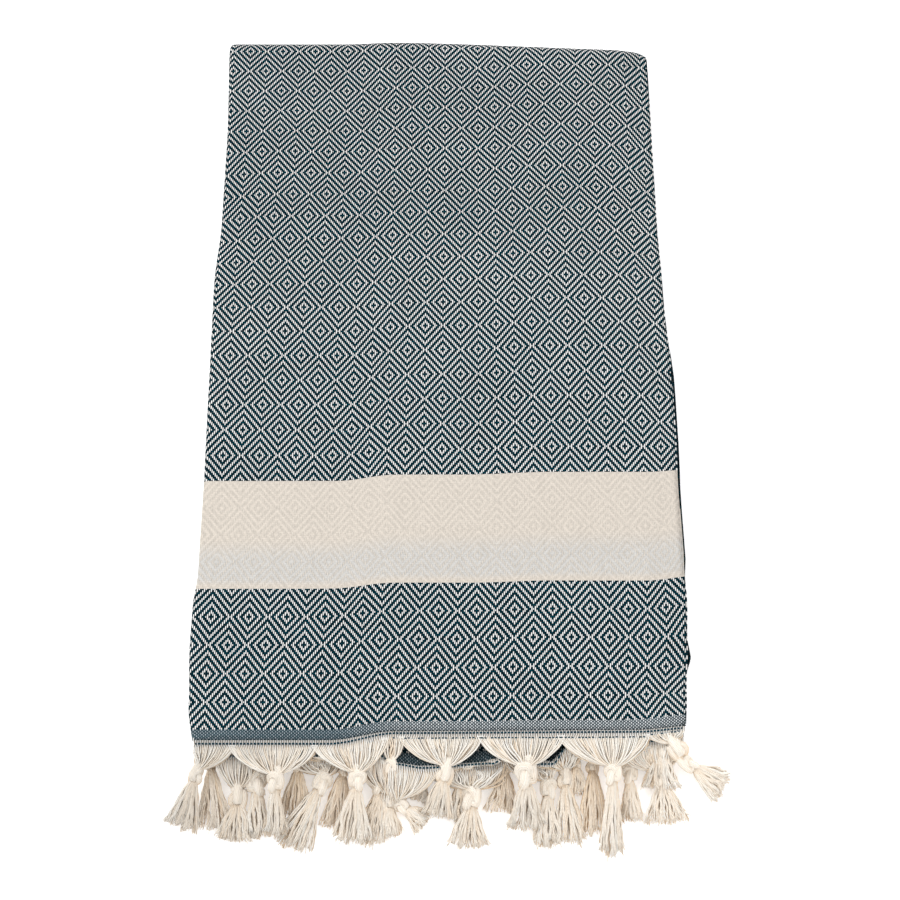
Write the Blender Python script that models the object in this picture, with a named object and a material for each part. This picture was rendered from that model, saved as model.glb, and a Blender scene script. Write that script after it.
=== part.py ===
"""Hammam towel, folded in quarters along its width and again along its length.

The cloth is one woven sheet. Its width is folded in halves and halves again, which gives a long pack of
four layers. That pack is folded the same way along its length, which gives sixteen layers.
Both ends of the towel come out at the near edge, the first end on top and the second under it.
Each end carries a fringe: a narrow strip of open cloth whose threads are gathered and knotted into
tassels, which hang over the near edge and lie on the surface.

Axes: +X to the right, +Y away from the fringe, +Z up. The origin is under the middle of the whole.
"""

import math

import bmesh
import bpy
from mathutils import Vector

MM = 0.001

# Cloth
CLOTH_THICKNESS = 1.2 * MM
LAYER_GAP = 0.3 * MM
LAYER_PITCH = CLOTH_THICKNESS + LAYER_GAP
LAYERS_PER_PACK = 4
PACK_PITCH = LAYERS_PER_PACK * LAYER_PITCH
PACKS = 4
FOLDED_HEIGHT = PACKS * PACK_PITCH - LAYER_GAP

# Folded rectangle, before its edges are made uneven
RIGHT_EDGE_X = 122.0 * MM
LEFT_EDGE_X = -133.0 * MM
FAR_FOLD_Y = 269.0 * MM
UPPER_HEM_Y = -153.0 * MM
LOWER_HEM_Y = -161.0 * MM
NEAR_FOLD_Y = -158.0 * MM
# The lengthwise folds at the right stay this far inside the selvedges
FOLD_INSET = 1.3 * MM

# Fringe
STRIP_GAP = 0.3 * MM
STRIP_LENGTH = 3.0 * MM
ROOT_CELLS = 4
LOCK_TIP_TAPER = 0.62
LOCK_HALF_HEIGHT = 1.5 * MM
UPPER_FALL = 2.8
LOWER_FALL = 1.0

# Stations across the pack, from the selvedge edge to the left fold (mm, without the two ends)
X_STATIONS_MM = (110, 60, -28, -45, -62, -100)
# Stations along the pack, from the near edge to the far fold (mm, without the two ends)
Y_STATIONS_MM = (-124, -112, -92, -72, -10, 45, 97, 150, 235)
# The near end of the fringe strips, past both hems
STRIP_REACH_Y = -172.0 * MM

OUTER_TURN_STEPS = 5
INNER_TURN_STEPS = 4

# Where the cloth's flat runs meet the half turns
SECTION_LEFT_X = LEFT_EDGE_X + 2.0 * LAYER_PITCH - 0.5 * LAYER_GAP
FOLD_RIGHT_X = RIGHT_EDGE_X - FOLD_INSET
PACK_FAR_Y = FAR_FOLD_Y - 0.5 * FOLDED_HEIGHT
PACK_NEAR_Y = NEAR_FOLD_Y + PACK_PITCH - 0.5 * LAYER_GAP

X_CONTROL = (LEFT_EDGE_X, *sorted(value * MM for value in X_STATIONS_MM), RIGHT_EDGE_X)
Y_CONTROL = (STRIP_REACH_Y, *(value * MM for value in Y_STATIONS_MM), PACK_FAR_Y, FAR_FOLD_Y)

# Uneven outline: where the left and right edges run.
# columns: y, left x, right x (mm)
EDGE_ROWS = (
    (-160, -130.4, 119.4),
    (-135, -134.0, 120.9),
    (-104, -135.2, 122.8),
    (-84, -134.9, 123.7),
    (-64, -133.0, 123.0),
    (-14, -132.7, 122.2),
    (4, -132.9, 123.4),
    (40, -133.1, 122.3),
    (104, -133.5, 119.5),
    (145, -131.1, 118.2),
    (200, -130.8, 117.8),
    (270, -132.4, 117.4),
)

# Soft hollows and swells of the whole stack.
# columns: x, y, reach along x, reach along y (mm), share of the height
SWELL_ROWS = (
    (-15, -60, 45, 60, 0.030),
    (60, 120, 60, 70, 0.025),
    (-90, 150, 45, 80, -0.030),
    (85, -110, 30, 35, -0.035),
    (10, 225, 70, 30, 0.025),
)

# The left part of the stack lies lower, with a lengthwise step between these places
STEP_FROM_X = -62.0 * MM
STEP_TO_X = -28.0 * MM
STEP_SINK_NEAR = 0.13
STEP_SINK_FAR = 0.05
STEP_SHIFT_NEAR = -3.9 * MM
STEP_SHIFT_FAR = -0.7 * MM

# The right edge droops, and the far right corner is drawn in
DROOP_FROM_X = 100.0 * MM
DROOP_SHARE = 0.13
CORNER_FROM_X = 114.0 * MM
CORNER_TO_X = 124.0 * MM
CORNER_FROM_Y = 200.0 * MM
CORNER_PULL = 6.5 * MM

# The stack lies a little askew towards the right
SKEW_FROM_X = -50.0 * MM
SKEW_TO_X = 150.0 * MM
SKEW_NEAR = 0.9 * MM
SKEW_FAR = -6.3 * MM

# Where the lower layers stand proud at the right edge.
# columns: y where it starts, y from which and to which it is full, y where it ends, reach (mm)
PROUD_ROWS = (
    (-78, -62, 55, 100, 3.4),
    (-122, -114, -112, -92, 3.9),
)
PROUD_FROM_ACROSS = 0.6
PROUD_FULL_BELOW = 9.0 * MM
PROUD_NONE_ABOVE = 16.0 * MM

# Tassels. Each is gathered from the stretch of strip between its two root places, falls to its knot,
# and opens into a skirt that ends at its tip.
# columns: name, root from x, root to x, knot x, knot y, knot z, tip x, tip y, tip z, tip half width,
#          knot radius (mm)
UPPER_TOP_ROWS = (
    ("g1", -129, -114, -129, -176, 14.4, -141, -200, 1.6, 5.5, 3.6),
    ("g2", -111, -70, -89, -178, 14.0, -86, -205, 7.4, 4.5, 4.0),
    ("g3", -67, -31, -47, -176, 14.6, -55, -206, 6.4, 6.5, 4.0),
    ("g4", -28, 14, -3, -173, 15.6, -9, -197, 6.8, 7.0, 4.2),
    ("g5", 17, 56, 38, -174, 16.0, 38, -200, 1.6, 6.8, 4.6),
    ("g6", 59, 100, 82, -174, 15.8, 82, -212, 1.4, 5.5, 4.2),
    ("g7", 103, 118, 121, -170, 14.6, 138, -184, 2.0, 6.5, 3.8),
)
LOWER_TOP_ROWS = (
    ("b", -126, -98, -111, -184, 3.6, -115, -207, 1.3, 5.0, 3.8),
    ("d", -95, -73, -84, -185, 3.1, -83, -200, 1.3, 3.2, 3.2),
    ("f", -70, -49, -60, -182, 3.1, -61, -200, 1.3, 2.6, 3.2),
    ("i", -38, -6, -22, -190, 3.5, -15, -205, 1.3, 4.0, 3.6),
    ("m", 12, 42, 26, -182, 3.5, 23, -197, 1.3, 3.6, 3.6),
    ("o", 46, 70, 59, -182, 3.5, 60, -205, 1.3, 3.6, 3.6),
    ("q", 72, 84, 71, -186, 3.1, 71, -203, 1.3, 3.2, 3.2),
    ("t", 90, 117, 105, -181, 3.5, 109, -200, 1.3, 6.0, 3.6),
)
LOWER_BOTTOM_ROWS = (
    ("a", -129, -119, -124, -175, 3.3, -125, -201, 1.3, 3.2, 3.4),
    ("c", -113, -84, -98, -175, 3.8, -98, -204, 1.3, 6.0, 4.0),
    ("e", -82, -60, -72, -174, 3.5, -73, -211, 1.3, 4.6, 3.6),
    ("g", -54, -22, -38, -177, 3.8, -40, -208, 1.3, 5.5, 4.0),
    ("l", -8, 26, 9, -179, 3.8, 10, -209, 1.3, 6.0, 4.0),
    ("n", 34, 60, 47, -175, 3.5, 49, -207, 1.3, 3.0, 3.6),
    ("r", 78, 104, 91, -173, 3.5, 94, -197, 1.3, 3.8, 3.6),
)

# Shape of a tassel. Sizes across are shares of the knot's radius.
GATHER_STATIONS = (0.35, 0.7, 1.0)
NECK_BEHIND = 0.9
NECK_WIDTH = 0.6
NECK_HEIGHT = 0.55
NARROWING = 0.8
KNOT_FLATNESS = 0.92
RING_ROUNDNESS = 0.8
COLLAR_SIZE = 0.62
# columns: place ahead of the knot's middle, half width
KNOT_RINGS = ((-0.35, 0.95), (0.45, 0.95), (1.0, COLLAR_SIZE))
LOCK_MIDDLE = 0.45
LOCK_MIDDLE_TAPER = 0.8
LOCK_LEVEL_FROM = 0.75
LOCK_SHORTENING = 0.05


def smooth_step(value, start, end):
    """0 before start, 1 after end, eased between."""
    share = min(max((value - start) / (end - start), 0.0), 1.0)
    return share * share * (3.0 - 2.0 * share)


def edge_places(y):
    """Left and right edge x at a place along the pack, eased between the rows."""
    rows = [tuple(value * MM for value in row) for row in EDGE_ROWS]
    if y <= rows[0][0]:
        return rows[0][1:]
    for (y_from, left_from, right_from), (y_to, left_to, right_to) in zip(rows, rows[1:]):
        if y <= y_to:
            share = smooth_step(y, y_from, y_to)
            left = left_from + (left_to - left_from) * share
            right = right_from + (right_to - right_from) * share
            return left, right
    return rows[-1][1:]


def settled(x, y, z):
    """Takes a point of the even stack to its place in the uneven one. The underside stays flat."""
    along = (y - UPPER_HEM_Y) / (FAR_FOLD_Y - UPPER_HEM_Y)
    left_part = 1.0 - smooth_step(x, STEP_FROM_X, STEP_TO_X)

    height = 1.0
    height -= left_part * (STEP_SINK_NEAR + (STEP_SINK_FAR - STEP_SINK_NEAR) * along)
    height -= DROOP_SHARE * smooth_step(x, DROOP_FROM_X, RIGHT_EDGE_X)
    for swell_x, swell_y, reach_x, reach_y, share in SWELL_ROWS:
        away_x = (x / MM - swell_x) / reach_x
        away_y = (y / MM - swell_y) / reach_y
        height += share * math.exp(-away_x * away_x - away_y * away_y)

    shift_y = left_part * (STEP_SHIFT_NEAR + (STEP_SHIFT_FAR - STEP_SHIFT_NEAR) * along)
    shift_y += smooth_step(x, SKEW_FROM_X, SKEW_TO_X) * (SKEW_NEAR + (SKEW_FAR - SKEW_NEAR) * along)
    corner = smooth_step(x, CORNER_FROM_X, CORNER_TO_X)
    shift_y -= CORNER_PULL * corner * smooth_step(y, CORNER_FROM_Y, FAR_FOLD_Y)

    left, right = edge_places(y)
    across = (x - LEFT_EDGE_X) / (RIGHT_EDGE_X - LEFT_EDGE_X)
    new_x = left + (right - left) * across
    low_down = 1.0 - smooth_step(z, PROUD_FULL_BELOW, PROUD_NONE_ABOVE)
    for start, full_from, full_to, end, reach in PROUD_ROWS:
        rise = smooth_step(y / MM, start, full_from) * (1.0 - smooth_step(y / MM, full_to, end))
        new_x += reach * MM * rise * low_down * smooth_step(across, PROUD_FROM_ACROSS, 1.0)
    return Vector((new_x, y + shift_y, z * height))


def bracket(value, stations):
    """The two stations round a value, and the share of the way between them."""
    for low, high in zip(stations, stations[1:]):
        if value <= high:
            break
    return low, high, (value - low) / (high - low)


def settle(point):
    """Settles a point by straight lines between the stations, so that all layers keep their facets."""
    x, y, z = point
    x_low, x_high, share_x = bracket(x, X_CONTROL)
    y_low, y_high, share_y = bracket(y, Y_CONTROL)
    moved = Vector()
    for station_x, weight_x in ((x_low, 1.0 - share_x), (x_high, share_x)):
        for station_y, weight_y in ((y_low, 1.0 - share_y), (y_high, share_y)):
            shift = settled(station_x, station_y, z) - Vector((station_x, station_y, z))
            moved += weight_x * weight_y * shift
    return Vector(point) + moved


def turn(centre, radius, start, end, steps, outward):
    """Stations inside a half turn: place along, height, and the normal of the cloth's face side."""
    sign = 1.0 if outward else -1.0
    stations = []
    for step in range(1, steps):
        angle = start + (end - start) * step / steps
        along = math.cos(angle)
        up = math.sin(angle)
        stations.append((centre[0] + radius * along, centre[1] + radius * up, sign * along, sign * up))
    return stations


def run(places, height, normal_up):
    """Stations of a flat run."""
    return [(place, height, 0.0, normal_up) for place in places]


def layer_places(rows, right_end):
    """Stations across one layer of the strip: the cells of each tassel's root, and the cloth's own
    stations where no tassel grows. Returns them with the first column of each root."""
    spans = [(row[1] * MM, row[2] * MM) for row in rows]
    places = [SECTION_LEFT_X, right_end]
    for value in X_STATIONS_MM:
        if not any(start <= value * MM <= end for start, end in spans):
            places.append(value * MM)
    for start, end in spans:
        for cell in range(ROOT_CELLS + 1):
            places.append(start + (end - start) * cell / ROOT_CELLS)
    places.sort()
    return places, [places.index(start) for start, end in spans]


def cross_section(top_places, bottom_places):
    """The pack's section from the first selvedge to the second: x, height in the pack, face normal.

    The top layer runs from the first selvedge at the right to the left fold, and the bottom layer back
    to the right. There it turns up into the third layer, which runs left inside the others, and the
    second layer runs right again to the other selvedge. Places are given from left to right.
    """
    outer = 1.5 * LAYER_PITCH
    inner = 0.5 * LAYER_PITCH
    left_fold = (SECTION_LEFT_X, 0.0)
    right_fold = (FOLD_RIGHT_X, -LAYER_PITCH)
    third_places = layer_places((), FOLD_RIGHT_X)[0]
    second_places = layer_places((), RIGHT_EDGE_X)[0]
    half = math.pi / 2.0
    stations = run(top_places[::-1], outer, 1.0)
    stations += turn(left_fold, outer, half, 3.0 * half, OUTER_TURN_STEPS, True)
    stations += run(bottom_places, -outer, -1.0)
    stations += turn(right_fold, inner, -half, half, INNER_TURN_STEPS, True)
    stations += run(third_places[::-1], -inner, 1.0)
    stations += turn(left_fold, inner, 3.0 * half, half, OUTER_TURN_STEPS, False)
    stations += run(second_places, inner, -1.0)
    return stations


def length_path():
    """The pack's path from the upper hem to the lower one: y, height, and the normal of its top side."""
    middle = 0.5 * FOLDED_HEIGHT
    outer = 1.5 * PACK_PITCH
    inner = 0.5 * PACK_PITCH
    stations_y = [value * MM for value in Y_STATIONS_MM]
    half = math.pi / 2.0
    path = run([UPPER_HEM_Y, *stations_y, PACK_FAR_Y], middle + outer, 1.0)
    path += turn((PACK_FAR_Y, middle), outer, half, -half, OUTER_TURN_STEPS, True)
    path += run([PACK_FAR_Y, *stations_y[::-1], PACK_NEAR_Y], middle - outer, -1.0)
    path += turn((PACK_NEAR_Y, middle - PACK_PITCH), inner, -half, -3.0 * half, INNER_TURN_STEPS, True)
    path += run([PACK_NEAR_Y, *stations_y, PACK_FAR_Y], middle - inner, 1.0)
    path += turn((PACK_FAR_Y, middle), inner, -half, half, OUTER_TURN_STEPS, False)
    path += run([PACK_FAR_Y, *stations_y[::-1], LOWER_HEM_Y], middle + inner, -1.0)
    return path


def sheet_point(section_station, path_station, side):
    """A point of the cloth's face (side 1) or back (side -1), in the uneven stack."""
    x, height, normal_x, normal_up = section_station
    y, z, path_y, path_up = path_station
    x += side * normal_x * 0.5 * CLOTH_THICKNESS
    height += side * normal_up * 0.5 * CLOTH_THICKNESS
    return settle((x, y + height * path_y, z + height * path_up))


def new_material(name, colour, roughness):
    material = bpy.data.materials.new(name)
    material.use_nodes = True
    shader = material.node_tree.nodes["Principled BSDF"]
    shader.inputs["Base Color"].default_value = (*colour, 1.0)
    shader.inputs["Roughness"].default_value = roughness
    shader.inputs["Metallic"].default_value = 0.0
    return material


def new_object(name, bm, material):
    bmesh.ops.recalc_face_normals(bm, faces=bm.faces)
    mesh = bpy.data.meshes.new(name)
    bm.to_mesh(mesh)
    bm.free()
    mesh.materials.append(material)
    part = bpy.data.objects.new(name, mesh)
    bpy.context.collection.objects.link(part)
    return part


def sheet_grid(bm, section, path):
    """Both sides of a stretch of cloth and its two selvedges. Returns the vertices by side."""
    grid = {}
    for side in (1, -1):
        grid[side] = [[bm.verts.new(sheet_point(across, along, side)) for across in section]
                      for along in path]
    for row in range(len(path) - 1):
        for side in (1, -1):
            near = grid[side][row]
            far = grid[side][row + 1]
            for column in range(len(section) - 1):
                bm.faces.new((near[column], near[column + 1], far[column + 1], far[column]))
        for column in (0, len(section) - 1):
            bm.faces.new((grid[1][row][column], grid[1][row + 1][column],
                          grid[-1][row + 1][column], grid[-1][row][column]))
    return grid


def close_rim(bm, grid, row, skipped):
    """Closes the cut edge of a stretch of cloth, but for the columns that a tassel grows from."""
    for column in range(len(grid[1][row]) - 1):
        if column not in skipped:
            bm.faces.new((grid[1][row][column], grid[1][row][column + 1],
                          grid[-1][row][column + 1], grid[-1][row][column]))


def build_cloth(material):
    section = cross_section(layer_places((), RIGHT_EDGE_X)[0], layer_places((), FOLD_RIGHT_X)[0])
    bm = bmesh.new()
    grid = sheet_grid(bm, section, length_path())
    close_rim(bm, grid, 0, ())
    close_rim(bm, grid, -1, ())
    return new_object("cloth", bm, material)


def ring_offsets(half_width, half_height):
    """The tassel's cross-section: a top row and a bottom row of places, round at both ends."""
    places = []
    for cell in range(ROOT_CELLS + 1):
        across = 2.0 * cell / ROOT_CELLS - 1.0
        up = half_height * math.sqrt(1.0 - RING_ROUNDNESS * across * across)
        places.append((across * half_width, up))
    return places, [(across, -up) for across, up in places]


def add_ring(bm, centre, sideways, half_width, half_height):
    top, bottom = ring_offsets(half_width, half_height)
    rows = []
    for places in (top, bottom):
        rows.append([bm.verts.new(centre + sideways * across + Vector((0.0, 0.0, up)))
                     for across, up in places])
    return rows


def bridge(bm, first, second):
    """Joins two rings of a top row and a bottom row each."""
    first_loop = first[0] + first[1][::-1]
    second_loop = second[0] + second[1][::-1]
    for index in range(len(first_loop)):
        after = (index + 1) % len(first_loop)
        bm.faces.new((first_loop[index], first_loop[after], second_loop[after], second_loop[index]))


def lock_cells(rows):
    """The collar's end, cut into triangles: each is the root of one lock of the skirt."""
    top, bottom = rows
    for cell in range(ROOT_CELLS):
        yield (top[cell], top[cell + 1], bottom[cell])
        yield (bottom[cell], top[cell + 1], bottom[cell + 1])


def add_skirt(bm, collar, start, tip, sideways, collar_size, tip_half_width):
    """Three-sided locks that fan out from the collar and end lying level."""
    for index, root in enumerate(lock_cells(collar)):
        reach = 1.0 - LOCK_SHORTENING * ((index * 5) % 4)
        previous = root
        root_points = [vertex.co - start for vertex in root]
        for way, slimness in ((LOCK_MIDDLE, LOCK_MIDDLE_TAPER), (reach, LOCK_TIP_TAPER)):
            level = smooth_step(way, 0.0, LOCK_LEVEL_FROM)
            centre = start.lerp(tip, way)
            centre.z = start.z + (tip.z - start.z) * level
            widen = 1.0 + (tip_half_width / collar_size[0] - 1.0) * way
            flatten = 1.0 + (LOCK_HALF_HEIGHT / collar_size[1] - 1.0) * level
            places = []
            for offset in root_points:
                across = offset.dot(sideways) * widen
                places.append((across, offset.z * flatten))
            middle_x = sum(place[0] for place in places) / 3.0
            middle_z = sum(place[1] for place in places) / 3.0
            ring = []
            for across, up in places:
                across = middle_x + (across - middle_x) * slimness
                up = middle_z + (up - middle_z) * slimness
                ring.append(bm.verts.new(centre + sideways * across + Vector((0.0, 0.0, up))))
            for side in range(3):
                after = (side + 1) % 3
                bm.faces.new((previous[side], previous[after], ring[after], ring[side]))
            previous = ring
        bm.faces.new(previous)


def add_tassel(bm, root, row, fall):
    """Gather, knot and skirt, grown from the strip's open edge."""
    knot = Vector([value * MM for value in row[3:6]])
    tip = Vector([value * MM for value in row[6:9]])
    tip_half_width = row[9] * MM
    radius = row[10] * MM

    root_vertices = root[0] + root[1]
    root_centre = sum((vertex.co for vertex in root_vertices), Vector()) / len(root_vertices)
    root_half = 0.5 * (root[0][-1].co - root[0][0].co).length
    heading = (tip - knot) * Vector((1.0, 1.0, 0.0))
    heading.normalize()
    skirt_side = Vector((-heading.y, heading.x, 0.0))
    if skirt_side.x < 0.0:
        skirt_side.negate()

    previous = root
    neck = knot - heading * radius * NECK_BEHIND
    for share in GATHER_STATIONS:
        centre = root_centre.lerp(neck, share)
        centre.z = root_centre.z + (neck.z - root_centre.z) * share ** fall
        half_width = root_half + (NECK_WIDTH * radius - root_half) * share ** NARROWING
        half_height = 0.5 * CLOTH_THICKNESS + (NECK_HEIGHT * radius - 0.5 * CLOTH_THICKNESS) * share
        sideways = Vector((1.0, 0.0, 0.0)).lerp(skirt_side, share).normalized()
        ring = add_ring(bm, centre, sideways, half_width, half_height)
        bridge(bm, previous, ring)
        previous = ring
    for ahead, size in KNOT_RINGS:
        centre = knot + heading * radius * ahead
        ring = add_ring(bm, centre, skirt_side, size * radius, KNOT_FLATNESS * size * radius)
        bridge(bm, previous, ring)
        previous = ring
    start = knot + heading * radius
    collar_size = (COLLAR_SIZE * radius, KNOT_FLATNESS * COLLAR_SIZE * radius)
    add_skirt(bm, previous, start, tip, skirt_side, collar_size, tip_half_width)


def strip_section(top_rows, bottom_rows):
    """The folded strip's section, with stations where the tassels of its two outer layers grow.

    Returns the stations and, for each tassel, its row and the columns of its root from left to right.
    """
    top_places, top_firsts = layer_places(top_rows, RIGHT_EDGE_X)
    bottom_places, bottom_firsts = layer_places(bottom_rows, FOLD_RIGHT_X)
    section = cross_section(top_places, bottom_places)
    roots = []
    for row, first in zip(top_rows, top_firsts):
        last = len(top_places) - 1 - first
        roots.append((row, list(range(last, last - ROOT_CELLS - 1, -1))))
    bottom_start = len(top_places) + OUTER_TURN_STEPS - 1
    for row, first in zip(bottom_rows, bottom_firsts):
        start = bottom_start + first
        roots.append((row, list(range(start, start + ROOT_CELLS + 1))))
    return section, roots


def build_fringe(name, top_rows, bottom_rows, hem_y, pack_z, pack_normal, fall, material):
    """A strip of the pack parted from its hem, and the tassels that grow from its outer layers."""
    section, roots = strip_section(top_rows, bottom_rows)
    y_from = hem_y - STRIP_GAP
    path = run([y_from, y_from - STRIP_LENGTH], pack_z, pack_normal)
    bm = bmesh.new()
    grid = sheet_grid(bm, section, path)
    close_rim(bm, grid, 0, ())
    taken = set()
    for row, columns in roots:
        taken.update(sorted(columns)[:-1])
        sides = [[grid[side][1][column] for column in columns] for side in (1, -1)]
        sides.sort(key=lambda vertices: -vertices[0].co.z)
        add_tassel(bm, sides, row, fall)
    close_rim(bm, grid, 1, taken)
    return new_object(name, bm, material)


def centre_on_origin(parts):
    """Places the parts so that the origin is under the middle of the whole, on the surface."""
    corners = [vertex.co for part in parts for vertex in part.data.vertices]
    low = Vector([min(corner[axis] for corner in corners) for axis in range(3)])
    high = Vector([max(corner[axis] for corner in corners) for axis in range(3)])
    shift = -0.5 * (low + high)
    shift.z = -low.z
    for part in parts:
        part.location = shift


def main():
    for leftover in list(bpy.data.objects):
        bpy.data.objects.remove(leftover)
    weave = new_material("woven_cotton", (0.22, 0.26, 0.27), 0.9)
    yarn = new_material("cream_yarn", (0.80, 0.74, 0.65), 0.92)
    middle = 0.5 * FOLDED_HEIGHT
    upper_z = middle + 1.5 * PACK_PITCH
    lower_z = middle + 0.5 * PACK_PITCH
    parts = [
        build_cloth(weave),
        build_fringe("fringe_upper", UPPER_TOP_ROWS, (), UPPER_HEM_Y, upper_z, 1.0, UPPER_FALL, yarn),
        build_fringe("fringe_lower", LOWER_BOTTOM_ROWS, LOWER_TOP_ROWS, LOWER_HEM_Y, lower_z, -1.0,
                     LOWER_FALL, yarn),
    ]
    centre_on_origin(parts)


main()
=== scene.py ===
"""Looks of the folded hammam towel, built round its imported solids.

The cloth is rebuilt as a finer sheet on the same folds, with its weave charted in ends and picks.
The fringes are rebuilt thread by thread: open header, gathered warp, knots and skirts.
Lengths are in millimetres until a mesh is made. Axes: +X right, +Y away from the fringe, +Z up.
"""

import math
from functools import partial

import bpy
import numpy as np
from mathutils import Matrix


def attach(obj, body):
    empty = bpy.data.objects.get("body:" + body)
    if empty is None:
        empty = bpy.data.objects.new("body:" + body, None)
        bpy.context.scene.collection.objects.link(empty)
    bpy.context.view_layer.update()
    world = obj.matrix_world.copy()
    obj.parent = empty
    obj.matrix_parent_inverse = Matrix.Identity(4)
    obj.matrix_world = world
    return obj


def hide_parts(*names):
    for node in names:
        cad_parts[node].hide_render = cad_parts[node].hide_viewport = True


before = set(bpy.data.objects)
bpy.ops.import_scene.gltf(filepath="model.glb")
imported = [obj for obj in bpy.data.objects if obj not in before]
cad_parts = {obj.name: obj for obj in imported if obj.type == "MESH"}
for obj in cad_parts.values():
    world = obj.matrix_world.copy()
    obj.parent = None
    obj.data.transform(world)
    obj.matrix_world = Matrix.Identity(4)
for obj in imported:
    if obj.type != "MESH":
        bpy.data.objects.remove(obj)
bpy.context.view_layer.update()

MM = 0.001
RANDOM_SEED = 7

# Folded sheet, as in the solids
CLOTH_THICKNESS = 1.15
LAYER_PITCH = 1.5
LAYER_GAP = 0.3
PACK_PITCH = 6.0
FOLDED_HEIGHT = 23.7
RIGHT_EDGE_X = 122.0
LEFT_EDGE_X = -133.0
FAR_FOLD_Y = 269.0
UPPER_HEM_Y = -153.0
LOWER_HEM_Y = -166.0
NEAR_FOLD_Y = -158.0
SECTION_LEFT_X = LEFT_EDGE_X + 2.0 * LAYER_PITCH - 0.5 * LAYER_GAP
FOLD_RIGHT_X = RIGHT_EDGE_X - 1.3
PACK_FAR_Y = FAR_FOLD_Y - 0.5 * FOLDED_HEIGHT
PACK_NEAR_Y = NEAR_FOLD_Y + PACK_PITCH - 0.5 * LAYER_GAP
CENTRING = np.array([2.818, -28.104, 0.0])

# Where the left and right edges run. columns: y, left x, right x
EDGE_ROWS = (
    (-160, -130.4, 119.4), (-135, -134.0, 120.9), (-104, -135.2, 122.8), (-84, -134.9, 123.7),
    (-64, -133.0, 123.0), (-14, -132.7, 122.2), (4, -132.9, 122.6), (40, -133.1, 122.3),
    (104, -133.5, 119.5), (145, -131.1, 118.2), (200, -130.8, 117.8), (270, -132.4, 117.4),
)

# Where the lower layers stand proud at the right edge.
# columns: y where it starts, y from which and to which it is full, y where it ends, reach
PROUD_ROWS = (
    (-78, -62, 55, 100, 3.4),
    (-122, -114, -112, -92, 3.9),
)

# How the picks lie askew on the top layer. columns: y, shift along y of the left part, middle, right part
GRAIN_ROWS = (
    (-145, -3.0, -0.7, 0.0), (-90, -2.6, -0.3, 1.1), (3, -2.15, 0.55, 2.2), (62, -2.5, 0.0, 2.5),
    (120, -2.5, -1.1, 1.6), (165, -1.5, -0.5, 1.9), (195, -1.1, 0.1, 2.6), (230, -1.3, 0.0, 2.5),
)

# Waves of the picks besides. columns: x, y, reach along x, reach along y, shift along y
GRAIN_WAVES = (
    (-38, 85, 18, 60, -1.1), (-45, 212, 16, 30, -0.7), (20, 212, 20, 42, -0.8),
    (-98, 200, 14, 30, 0.6), (-136, 145, 20, 42, -3.8), (-52, -105, 12, 25, 0.7), (122, 175, 22, 62, -2.6),
)

# Hollows and swells of the whole stack. columns: x, y, reach along x, reach along y, share of height
SWELL_ROWS = (
    (-15, -60, 45, 60, 0.030), (60, 120, 60, 70, 0.025), (-90, 150, 45, 80, -0.030),
    (85, -110, 30, 35, -0.035), (10, 225, 70, 30, 0.025),
)

# How far the second end's hem lies from its even line. columns: x, shift along y
SECOND_HEM_ROWS = (
    (-120, 8.0), (-42, 8.0), (-28, -1.5), (-14, -3.5), (22, -1.5), (32, 4.0),
    (38, 4.0), (46, -2.0), (53, -2.0), (62, 8.5), (120, 9.0),
)
SECOND_PACK_Z = (11.85, 17.85)
SECOND_PACK_EASE = 0.15
SECOND_HEM_REACH = 34.0

# The left part lies lower and nearer, and so on. A span is from where to where a move grows
LEFT_SPAN = (-62.0, -28.0)
LEFT_SINK = (0.13, 0.08)
LEFT_SHIFT = (-3.9, 3.2)
RIGHT_SINK = 0.13
RIGHT_SINK_SPAN = (100.0, RIGHT_EDGE_X)
SKEW_SPAN = (-50.0, 150.0)
SKEW = (0.9, 7.2)
FAR_CORNER_PULL = 3.2
FAR_CORNER_SPANS = ((116.0, 124.0), (200.0, FAR_FOLD_Y))
NEAR_CORNER_LIFT = 2.6
NEAR_CORNER_SPANS = ((98.0, 124.0), (UPPER_HEM_Y, UPPER_HEM_Y + 32.0))
PROUD_Z = (9.0, 16.0)
PROUD_SPAN = (0.6, 1.0)

# Weave
ENDS_PER_DIAMOND = 22.0
PICKS_PER_DIAMOND = 28.0
END_PITCH = 19.74 / ENDS_PER_DIAMOND
PICK_PITCH = 30.0 / PICKS_PER_DIAMOND
CENTRE_ROW_Y = -75.0
HEM_TOP_PICK = -67.7
HEM_END_PICK = HEM_TOP_PICK - 4.5
BAND_FIRST_PICK = 0.7
BAND_END_PICK = 56.65
THINNER_HEM = 1.2
THINNER_HEM_SPAN = (120.0, 145.0)

# How the grain of the top layer differs from an even one: spans in x between the columns of GRAIN_ROWS, then
# moves with their spans. Those at the near end, at the band and in the hem have y counted towards the fringe.
GRAIN_LEFT_SPAN = (-60.0, -30.0)
GRAIN_RIGHT_SPAN = (8.0, 55.0)
BAND_EDGE_RISE = 3.4
BAND_EDGE_SPANS = ((102.0, 128.0), (-30.0, 30.0), (90.0, 120.0))
NEAR_EDGE_RISE = 1.6
NEAR_EDGE_SPANS = ((85.0, 122.0), (110.0, 150.0))
CLOSER_FAR = (0.078, 125.0, 15.0)
CLOSER_NEAR = (0.02, -124.0, 5.0)
CENTRE_COLUMN_X = 3.4
COLUMN_DRIFTS = ((2.4, -150.0, 40.0), (1.0, 40.0, 220.0))
NEAR_DRIFT = (1.2, 92.0, 135.0)
# columns: drift, x from, x to, y, reach along y
COLUMN_BULGES = ((1.0, -75.0, 5.0, 82.0, 45.0), (1.7, -110.0, 60.0, -42.0, 22.0))
TOP_ENDS_SCALE = 1.001
ENDS_CLOSER_FAR = (0.019, 95.0, 180.0)
ENDS_CLOSER_NEAR = (0.010, 105.0, 145.0)

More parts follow.
